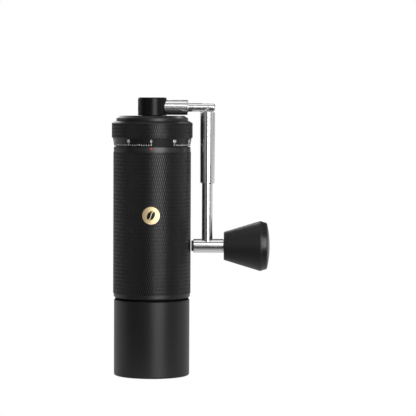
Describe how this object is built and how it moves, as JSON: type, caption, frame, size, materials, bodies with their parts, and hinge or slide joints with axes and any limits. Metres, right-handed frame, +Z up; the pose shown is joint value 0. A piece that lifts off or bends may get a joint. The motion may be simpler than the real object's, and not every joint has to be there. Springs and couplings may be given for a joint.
{
  "type": "hand crank coffee grinder",
  "caption": "Slim hand coffee grinder with a knurled barrel, numbered grind dial, folding crank arm, tapered knob and a pull-off catch cup.",
  "frame": {"origin": "centre of the catch cup's base, on the grinding axis", "axes": "+Z up along the grinding axis; -Y is the front, with the badge and the dial's zero; the crank arm reaches to +X and its outer half hangs folded beside the body"},
  "size_m": [0.1102, 0.0562, 0.1936],
  "materials": {
    "black_anodised": "black anodised, satin",
    "gold_plate": "satin gold plate",
    "black_enamel": "glossy black enamel",
    "red_enamel": "glossy red enamel",
    "machined_aluminium": "machined, satin",
    "spring_steel": "drawn spring steel",
    "bearing_steel": "ground and polished",
    "burr_steel": "milled stainless steel",
    "polished_steel": "polished stainless steel",
    "dark_steel": "black oxide",
    "acetal": "natural white acetal",
    "liner_plastic": "matt moulded",
    "silicone": "matt silicone",
    "bronze_bush": "sintered bronze",
    "black_moulding": "fine satin texture",
    "magnet": "nickel plated"
  },
  "bodies": {
    "body": {"body_tube": "black_anodised", "badge": "gold_plate", "badge_inlay": "black_enamel", "index_dot": "red_enamel", "threaded_neck": "black_anodised", "ring_clip": "spring_steel", "click_spring": "spring_steel", "hopper_liner": "liner_plastic", "bearing_bridge": "machined_aluminium", "lower_bearing": "bearing_steel", "burr_carrier": "machined_aluminium", "outer_burr": "burr_steel", "burr_retainer": "dark_steel", "keeper_ring": "dark_steel", "spring_washer": "spring_steel", "preload_spring": "spring_steel"},
    "dial": {"adjust_ring": "black_anodised", "detent_ring": "spring_steel"},
    "carriage": {"feed_carrier": "machined_aluminium", "feed_pins": "bearing_steel", "upper_bearing": "bearing_steel"},
    "shaft": {"drive_shaft": "polished_steel", "inner_burr": "burr_steel", "burr_washer": "spring_steel", "burr_nut": "polished_steel", "shaft_clips": "spring_steel"},
    "lid": {"lid_disc": "black_anodised", "lid_bushing": "acetal", "lid_seal": "silicone"},
    "crank": {"crank_hub": "black_anodised", "hub_clip": "spring_steel", "arm_stub": "polished_steel", "arm_screw": "dark_steel", "fold_pin": "polished_steel"},
    "outer_arm": {"outer_rod": "polished_steel", "spindle": "polished_steel", "bumper_tip": "silicone", "tip_magnet": "magnet", "knob_axle": "polished_steel", "knob_screw": "dark_steel", "lock_spring": "spring_steel"},
    "sleeve": {"lock_sleeve": "polished_steel"},
    "knob": {"knob_grip": "black_moulding", "knob_bushes": "bronze_bush", "knob_cap": "black_moulding"},
    "cup": {"catch_cup": "black_anodised", "base_pad": "silicone", "cup_seal": "silicone", "cup_magnet_ring": "magnet"}
  },
  "joints": [
    {"name": "crank_spin", "type": "hinge", "parent": "lid", "child": "crank", "pos_m": [0, 0, 0.1867], "axis": [0, 0, 1], "continuous": true},
    {"name": "arm_fold", "type": "hinge", "parent": "crank", "child": "outer_arm", "pos_m": [0.0385, 0, 0.1867], "axis": [0, -1, 0], "range_deg": [0, 90]},
    {"name": "sleeve_pull", "type": "slide", "parent": "outer_arm", "child": "sleeve", "axis": [0, 0, -1], "range_m": [0, 0.004], "stiffness_N_per_m": 300, "springref_m": -0.01, "deforming": ["lock_spring"]},
    {"name": "knob_spin", "type": "hinge", "parent": "outer_arm", "child": "knob", "pos_m": [0.063, 0, 0.0904], "axis": [1, 0, 0], "continuous": true},
    {"name": "dial_turn", "type": "hinge", "parent": "body", "child": "dial", "pos_m": [0, 0, 0.168], "axis": [0, 0, 1], "range_deg": [0, 360]},
    {"name": "burr_feed", "type": "slide", "parent": "body", "child": "carriage", "axis": [0, 0, -1], "range_m": [0, 0.0015], "deforming": ["preload_spring"]},
    {"name": "burr_spin", "type": "hinge", "parent": "carriage", "child": "shaft", "pos_m": [0, 0, 0.1], "axis": [0, 0, 1], "continuous": true},
    {"name": "lid_lift", "type": "slide", "parent": "body", "child": "lid", "axis": [0, 0, 1], "range_m": [0, 0.03]},
    {"name": "cup_pull", "type": "slide", "parent": "body", "child": "cup", "axis": [0, 0, -1], "range_m": [0, 0.03]}
  ],
  "couplings": [
    {"joint": "dial_turn", "follows": "burr_feed", "rad_per_m": 4188.7},
    {"joint": "burr_spin", "follows": "crank_spin", "ratio": 1}
  ]
}
